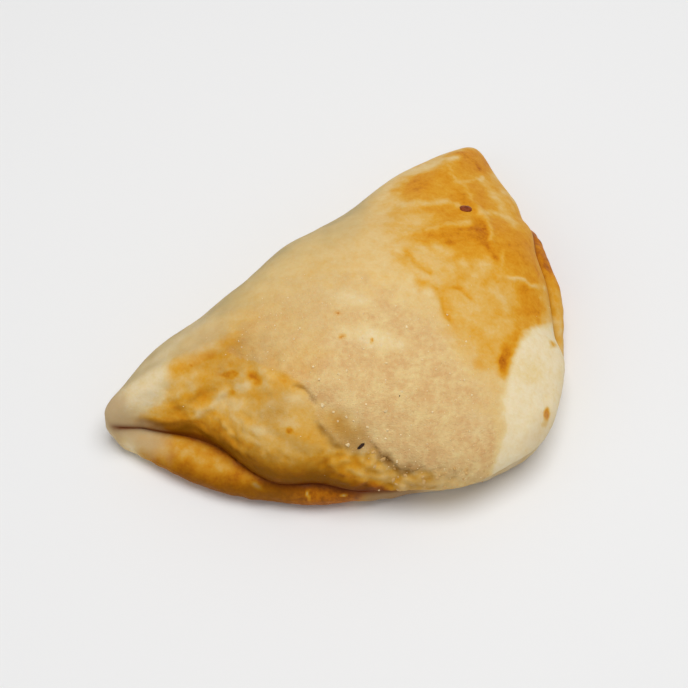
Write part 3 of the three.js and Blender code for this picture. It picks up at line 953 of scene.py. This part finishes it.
def scorch_and_crease_shade(skin, shade_under_bulge):
    """Where the creases' bottoms and the flange's edge are scorched and darkened with painted crease shade,
    and where painted shade lies on the lip under the bulge.
    """
    angle, section = skin.angle, skin.section
    front = np.where(angle < 230, smooth((angle - 200.8) / 2.2), section.front_sealed)
    front = front * fading(skin.from_seam, FRONT_SCORCH_AND_SHADE + 0.7 * smooth((angle - 206) / 14))
    front *= 1 - 0.5 * swell(angle, 232, 14)
    # Painted shade on the lip under the bulge.
    bulge = 0.2 * shade_under_bulge * smooth((302 - angle) / 10)
    side = 0.85 * fading(skin.from_seam, SIDE_SCORCH_AND_SHADE) * section.side_sealed
    flange = fading(np.maximum(skin.height - section.brow_height, 0), FLANGE_SCORCH_AND_SHADE) * section.side_sealed
    flange *= 0.6 * (1 - skin.lower) * on_part(angle, SCORCHED_AND_SHADED_FLANGE)
    return np.maximum.reduce([front, bulge, side, flange])


def fine_relief(skin):
    """How far the crust's grain and slab, the wrinkles, the dents and the unevenness raise the skin."""
    off, side = skin.slab_off, skin.slab_side
    under_slab = (side < 0) * smooth((12 - off) / 6) * smooth((skin.across - 12) / 6) * skin.slab_ends
    rise = skin.crust * (0.14 + 0.1 * under_slab) * skin.uneven(CRUST_GRIT)
    rise += skin.crumpled + skin.rough + 0.12 * skin.broad
    rise += skin.uneven(GLAZE_RELIEF) + skin.crumple * skin.uneven(CRUMPLE_GRIT)
    step = SLAB_STEP * np.exp(-off / SLAB_FADE)
    undercut = SLAB_UNDERCUT * fading(off, SLAB_UNDERCUT_REACH)
    rise += np.where(side > 0, step, -undercut) * skin.slab_ends
    for _, by, half_width, points in FINE_LINES:
        rise += by * skin.line(half_width, points)
    for _, by, at_across, at_up, *oval in FINE_SPOTS:
        rise += by * fading(turned(skin.across - at_across, skin.up - at_up, *oval), 1)
    rise *= skin.seen * skin.upper
    rise += skin.lower * smooth(skin.co[:, 2] / 3) * skin.uneven(LIP_RELIEF)
    rise += (1 - skin.seen) * skin.upper * skin.uneven(BACK_RELIEF)
    return rise


def baked_skin():
    """The skin with all the marks of baking and the painted shade, and its fine relief."""
    skin = Skin()
    skin.crust = crust_cover(skin)
    foot = dark_foot(skin)
    climbed = np.maximum(skin.height - skin.section.brow_height, 0)
    over_brow = np.where(skin.lower, np.inf, climbed + 2 * skin.grain)
    # Where painted shade falls on the lip under the bulge.
    shade_under_bulge = skin.lower * on_part(skin.angle, SHADE_UNDER_THE_BULGE)
    # The olive mark is painted shade, and the khaki, the flour and the scorch are partly painted shade.
    marks = {
        "bake": browning(skin, foot, over_brow),
        "crust": skin.crust,
        "olive_shade": painted_olive_shade(skin, foot, over_brow, shade_under_bulge),
        "khaki_and_shade": khaki_and_shade_of_fold(skin),
        "flour_and_shade": flour_and_shade_cover(skin, shade_under_bulge),
        "scorch_and_shade": scorch_and_crease_shade(skin, shade_under_bulge),
    }
    skin.finish(marks, fine_relief(skin))
    return skin


# ---------------------------------------------------------------------------------------------
# Materials.


def srgb(colour):
    """sRGB bytes as a linear colour."""
    linear = [(c / 255 / 12.92) if c <= 10 else ((c / 255 + 0.055) / 1.055) ** 2.4 for c in colour]
    return (*linear, 1)


def node(tree, kind, **values):
    made = tree.nodes.new(kind)
    for name, value in values.items():
        if name in made.inputs:
            made.inputs[name].default_value = value
        else:
            setattr(made, name, value)
    return made


def math_node(tree, operation, a, b, clamp=False):
    made = tree.nodes.new("ShaderNodeMath")
    made.operation = operation
    made.use_clamp = clamp
    for socket, value in zip(made.inputs, (a, b)):
        if isinstance(value, (int, float)):
            socket.default_value = value
        else:
            tree.links.new(value, socket)
    return made.outputs[0]


def sums(tree):
    """Adding, taking away and multiplying in a node tree."""
    return (partial(math_node, tree, operation) for operation in ("ADD", "SUBTRACT", "MULTIPLY"))


def mix(tree, share, a, b):
    """A colour between a and b."""
    made = tree.nodes.new("ShaderNodeMix")
    made.data_type = "RGBA"
    for name, value in (("Factor", share), ("A", a), ("B", b)):
        socket = next(s for s in made.inputs if s.name == name and s.enabled)
        if hasattr(value, "links"):
            tree.links.new(value, socket)
        else:
            socket.default_value = value
    return next(s for s in made.outputs if s.enabled)


def unevenness_group():
    """Fine mottling: two sizes of noise about 0, on the piece's own coordinates."""
    group = bpy.data.node_groups.new("Unevenness", "ShaderNodeTree")
    layers = (("Patch size mm", "Patches"), ("Grain size mm", "Grain"))
    for size, out in layers:
        group.interface.new_socket(size, in_out="INPUT", socket_type="NodeSocketFloat")
        group.interface.new_socket(out, in_out="OUTPUT", socket_type="NodeSocketFloat")
    enter = group.nodes.new("NodeGroupInput")
    leave = group.nodes.new("NodeGroupOutput")
    where = group.nodes.new("ShaderNodeTexCoord")
    for size, out in layers:
        texture = node(group, "ShaderNodeTexNoise", Detail=3.0, Roughness=0.55)
        group.links.new(where.outputs["Object"], texture.inputs["Vector"])
        group.links.new(math_node(group, "DIVIDE", 1 / MM, enter.outputs[size]), texture.inputs["Scale"])
        centred = math_node(group, "SUBTRACT", texture.outputs["Fac"], 0.5)
        group.links.new(centred, leave.inputs[out])
    return group


def material(name):
    made = bpy.data.materials.new(name)
    made.use_nodes = True
    return made, made.node_tree, made.node_tree.nodes["Principled BSDF"]


def ramp(tree, share, stops):
    made = tree.nodes.new("ShaderNodeValToRGB")
    tree.links.new(share, made.inputs["Fac"])
    elements = made.color_ramp.elements
    while len(elements) < len(stops):
        elements.new(1)
    for element, (position, colour) in zip(elements, stops):
        element.position = position
        element.color = srgb(colour)
    return made.outputs["Color"]


def attribute(tree, name):
    made = tree.nodes.new("ShaderNodeAttribute")
    made.attribute_name = name
    return made.outputs["Fac"]


def mottling(tree, unevenness, patch_size, grain_size):
    """The unevenness group's patches and grain at these sizes."""
    made = node(tree, "ShaderNodeGroup", node_tree=unevenness)
    made.inputs["Patch size mm"].default_value = patch_size
    made.inputs["Grain size mm"].default_value = grain_size
    return made.outputs["Patches"], made.outputs["Grain"]


def bumped(tree, shader, height, strength, distance):
    bump = node(tree, "ShaderNodeBump", Strength=strength, Distance=distance * MM)
    tree.links.new(height, bump.inputs["Height"])
    tree.links.new(bump.outputs["Normal"], shader.inputs["Normal"])


def baked_dough(unevenness):
    """Washed dough that browns by the ramp, under the sugared crust, the olive painted shade, the khaki and
    flour that are partly painted shade, and the scorch with its painted crease shade.
    """
    made, tree, shader = material("baked_dough")
    plus, minus, times = sums(tree)
    marks = ("bake", "crust", "olive_shade", "khaki_and_shade", "flour_and_shade", "scorch_and_shade")
    bake, crust, olive_shade, khaki_and_shade, flour_and_shade, scorch_and_shade = (attribute(tree, name) for name in marks)
    patches, grain = mottling(tree, unevenness, 2.4, 0.9)
    broad_patches, broad_grain = mottling(tree, unevenness, 6, 1.4)

    level = plus(plus(bake, times(patches, 0.28)), times(grain, 0.2))
    washed = ramp(tree, level, BAKE_COLOURS)

    tone = plus(times(broad_patches, 2.2), 0.55)
    tone = plus(tone, times(broad_grain, 1.8), clamp=True)
    sugared = mix(tree, tone, srgb(CRUST_CREAM), srgb(CRUST_PEACH))
    burnt = times(minus(bake, 0.66), 5, clamp=True)
    cover = plus(crust, times(patches, 0.5))
    cover = times(cover, times(crust, 0.9), clamp=True)
    cover = times(cover, minus(1, burnt))
    colour = mix(tree, cover, washed, sugared)
    # Painted shade in olive-brown, then the khaki and the flour grey, which are partly painted shade.
    for share, tint in ((olive_shade, SHADE_OLIVE_BROWN), (khaki_and_shade, FOLD_KHAKI_AND_SHADE), (flour_and_shade, FLOUR_AND_SHADE_GREY)):
        colour = mix(tree, times(share, 0.96), colour, srgb(tint))
    # Scorch, with the painted shade in the creases.
    colour = mix(tree, scorch_and_shade, colour, srgb(SCORCH_AND_SHADE_BROWN))
    tree.links.new(colour, shader.inputs["Base Color"])

    tree.links.new(plus(0.5, times(crust, 0.16)), shader.inputs["Roughness"])
    shine = times(minus(bake, 0.5, clamp=True), 0.25)
    bare = minus(1, plus(crust, olive_shade), clamp=True)
    tree.links.new(times(shine, bare), shader.inputs["Coat Weight"])
    shader.inputs["Coat Roughness"].default_value = 0.35
    shader.inputs["Specular IOR Level"].default_value = 0.05
    shader.inputs["Subsurface Weight"].default_value = 0.08
    shader.inputs["Subsurface Radius"].default_value = (1, 0.45, 0.2)
    shader.inputs["Subsurface Scale"].default_value = 1.5 * MM

    grit, fine_grit = mottling(tree, unevenness, 0.7, 0.35)
    height = plus(grit, times(fine_grit, 0.6))
    strength = plus(0.25, times(crust, 0.75))
    bumped(tree, shader, times(height, strength), 0.8, 0.35)
    return made


def grainy(name, unevenness, dark, light, roughness, size):
    """A material that wavers between two colours, with a fine bump."""
    made, tree, shader = material(name)
    plus, _, times = sums(tree)
    patches, grain = mottling(tree, unevenness, size, size / 3)
    share = plus(times(patches, 3), 0.5, clamp=True)
    tree.links.new(mix(tree, share, srgb(dark), srgb(light)), shader.inputs["Base Color"])
    shader.inputs["Roughness"].default_value = roughness
    shader.inputs["Specular IOR Level"].default_value = 0.2
    bumped(tree, shader, grain, 0.5, 0.1)
    return made


# ---------------------------------------------------------------------------------------------
# Pieces.


def piece(name, mesh, finish):
    mesh.materials.append(finish)
    made = bpy.data.objects.new(name, mesh)
    bpy.context.scene.collection.objects.link(made)
    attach(made, "root")
    return made


def nearest(skin, across, up):
    """The number of the skin's shown vertex at a place on the face."""
    hidden = np.where(skin.seen > 0.5, 0, 1e6)
    return int(np.argmin((skin.co[:, 0] - across) ** 2 + (skin.climb - up) ** 2 + hidden))


def settled(skin, number, turn, sink):
    """A frame on the skin at a vertex: Z outward, X turned from level, and its origin sunk by so much."""
    out = Vector(skin.normals[number]).normalized()
    level = Vector((1, 0, 0)) - out * out.x
    level.normalize()
    side = out.cross(level)
    turned_to = level * math.cos(turn) + side * math.sin(turn)
    frame = Matrix((turned_to, out.cross(turned_to), out)).transposed().to_4x4()
    frame.translation = Vector(skin.co[number] - skin.middle) - out * sink
    return frame


def to_mesh(name, bm):
    """Scales a finished shape to metres."""
    bmesh.ops.scale(bm, vec=(MM, MM, MM), verts=bm.verts)
    bmesh.ops.recalc_face_normals(bm, faces=bm.faces)
    mesh = bpy.data.meshes.new(name)
    bm.to_mesh(mesh)
    bm.free()
    return mesh


def lump(bm, frame, size, rng, fineness, jitter):
    """Adds a rounded lump with an uneven surface, in a frame."""
    made = bmesh.ops.create_icosphere(bm, subdivisions=fineness, radius=1)
    for vertex in made["verts"]:
        vertex.co *= 1 + rng.uniform(-jitter, jitter)
        vertex.co = frame @ Vector((vertex.co.x * size[0], vertex.co.y * size[1], vertex.co.z * size[2]))


# How many there are, and from what size to what.
SUGAR_GRAINS, GRAIN_SIZES = 420, (0.1, 0.22)
SUGAR_CRYSTALS, CRYSTAL_SIZES = 40, (0.26, 0.42)
CRUMBS, CRUMB_SIZES = 50, (0.3, 0.8)
SUGAR_OFF_CRUST = 0.008

# Crystals that stand out: across, up, size.
PLACED_CRYSTALS = (
    (-14.8, 9, 0.4), (-8.9, 1.1, 0.5), (-6.9, -2.6, 0.45), (-6.2, -9.9, 0.65), (-3.1, -12, 0.45),
    (0.8, -13.4, 0.5), (6.9, -16.2, 0.5), (11.8, -11.3, 0.6), (12.3, -16.8, 0.5), (11.7, -19.5, 0.4),
    (12.4, 2.1, 0.5), (16.5, -6.2, 0.5), (15.4, -25.8, 0.6), (1.4, -21.2, 0.6), (-12.8, 11.9, 0.4),
)


def sugar_grains(skin, rng):
    bm = bmesh.new()
    weight = np.cumsum(skin.crust**2 + SUGAR_OFF_CRUST * skin.seen)
    sites = [(nearest(skin, across, up), size) for across, up, size in PLACED_CRYSTALS]
    for k in range(SUGAR_GRAINS + SUGAR_CRYSTALS):
        number = int(np.searchsorted(weight, rng.random() * weight[-1]))
        sites.append((number, rng.uniform(*(GRAIN_SIZES if k < SUGAR_GRAINS else CRYSTAL_SIZES))))
    for number, size in sites:
        frame = settled(skin, number, rng.uniform(0, math.tau), size * 0.15)
        tumble = Euler([rng.uniform(0, math.tau) for _ in range(3)]).to_matrix().to_4x4()
        shape = Matrix.Diagonal((size * rng.uniform(0.7, 1.3), size, size * rng.uniform(0.6, 1), 1))
        bmesh.ops.create_cube(bm, size=1.4, matrix=frame @ tumble @ shape)
    return to_mesh("sugar_grains", bm)


# Where the crumbs lie: from across to across, and from so far to so far below the slab's edge.
CRUMBS_ACROSS = (6, 42)
CRUMBS_BELOW_EDGE = (1, 7)


def crumbs(skin, rng):
    """Crumbs below the slab's edge and on past its right end."""
    bm = bmesh.new()
    for _ in range(CRUMBS):
        across = rng.uniform(*CRUMBS_ACROSS)
        number = nearest(skin, across, read_off(SLAB_EDGE, across) - rng.uniform(*CRUMBS_BELOW_EDGE))
        size = rng.uniform(*CRUMB_SIZES)
        frame = settled(skin, number, rng.uniform(0, math.tau), size * 0.3)
        lump(bm, frame, (size * rng.uniform(1, 1.5), size, size * 0.7), rng, fineness=1, jitter=0.2)
    return to_mesh("crumbs", bm)


# Lumps that are placed one by one: across, up, turn, sunk by, half sizes, fineness, unevenness.
DARK_SPECKS = (
    (5, -21.8, 42, -0.1, (1.35, 0.5, 0.35), 2, 0.1),
    (16, -7.5, 80, 0, (0.34, 0.16, 0.1), 1, 0.15),
)
BLISTER = ((37.6, 49.6, -12, 0.1, (2, 1.6, 0.8), 3, 0.05),)


def placed_lumps(name, lumps, skin, rng):
    bm = bmesh.new()
    for across, up, turn, sink, size, fineness, jitter in lumps:
        frame = settled(skin, nearest(skin, across, up), math.radians(turn), sink)
        lump(bm, frame, size, rng, fineness, jitter)
    return to_mesh(name, bm)


# ---------------------------------------------------------------------------------------------
# The studio.

CAMERA_DISTANCE = 550
CAMERA_ELEVATION = 57
CAMERA_LENS = 94.1
AIM_HEIGHT = 14
ROOM_LIGHT = 0.38
PAPER = (0.86, 0.86, 0.86, 1)

# In metres and watts: how far the floor reaches, and each lamp's place, size and power.
FLOOR_REACH = 3
LAMPS = (
    ("softbox", (0.12, 0.0, 1.05), 0.8, 7.4),
    ("fill", (-0.7, -0.5, 0.6), 0.9, 0.8),
)


def studio(crown):
    scene = bpy.context.scene
    aim = Vector((crown.x, crown.y, AIM_HEIGHT)) * MM
    camera = bpy.data.objects.new("camera", bpy.data.cameras.new("camera"))
    tilt = math.radians(CAMERA_ELEVATION)
    camera.location = aim + Vector((0, -math.cos(tilt), math.sin(tilt))) * CAMERA_DISTANCE * MM
    camera.rotation_euler = (math.radians(90 - CAMERA_ELEVATION), 0, 0)
    camera.data.lens = CAMERA_LENS
    camera.data.clip_start = 0.01
    scene.collection.objects.link(camera)
    scene.camera = camera

    floor_shape = bmesh.new()
    bmesh.ops.create_grid(floor_shape, x_segments=1, y_segments=1, size=FLOOR_REACH)
    floor_mesh = bpy.data.meshes.new("floor")
    floor_shape.to_mesh(floor_mesh)
    floor_shape.free()
    paper, _, shader = material("paper")
    shader.inputs["Base Color"].default_value = PAPER
    shader.inputs["Roughness"].default_value = 0.9
    floor_mesh.materials.append(paper)
    floor = bpy.data.objects.new("floor", floor_mesh)
    scene.collection.objects.link(floor)

    for name, place, size, power in LAMPS:
        light = bpy.data.lights.new(name, "AREA")
        light.shape = "DISK"
        light.size = size
        light.energy = power
        lamp = bpy.data.objects.new(name, light)
        lamp.location = place
        lamp.rotation_euler = (aim - Vector(place)).to_track_quat("-Z", "Y").to_euler()
        scene.collection.objects.link(lamp)
    world = bpy.data.worlds.new("room")
    world.use_nodes = True
    background = world.node_tree.nodes["Background"]
    background.inputs["Color"].default_value = (1, 1, 1, 1)
    background.inputs["Strength"].default_value = ROOM_LIGHT
    scene.world = world
    scene.view_settings.view_transform = "Standard"


# What the loose pieces are finished with: dark and light colour, roughness, size of the mottling.
SUGAR = ((226, 196, 142), (240, 218, 172), 0.4, 0.8)
CRUMB = ((196, 152, 88), (218, 180, 118), 0.65, 1.2)
BURNT_CRUMB = ((34, 20, 12), (66, 38, 20), 0.5, 0.8)
BURNT_SUGAR = ((104, 40, 12), (150, 72, 24), 0.3, 1.2)

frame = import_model()

unevenness = unevenness_group()
skin = baked_skin()
skin.mesh.transform(Matrix.Scale(MM, 4))
dough = piece("dough", skin.mesh, baked_dough(unevenness))
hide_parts("turnover")
rng = random.Random(7)
piece("sugar_grains", sugar_grains(skin, rng), grainy("sugar", unevenness, *SUGAR))
piece("crumbs", crumbs(skin, rng), grainy("crumb", unevenness, *CRUMB))
dark_specks = placed_lumps("dark_specks", DARK_SPECKS, skin, rng)
piece("dark_specks", dark_specks, grainy("burnt_crumb", unevenness, *BURNT_CRUMB))
blister = placed_lumps("blister", BLISTER, skin, rng)
piece("blister", blister, grainy("burnt_sugar", unevenness, *BURNT_SUGAR))

studio(Vector(-skin.middle))
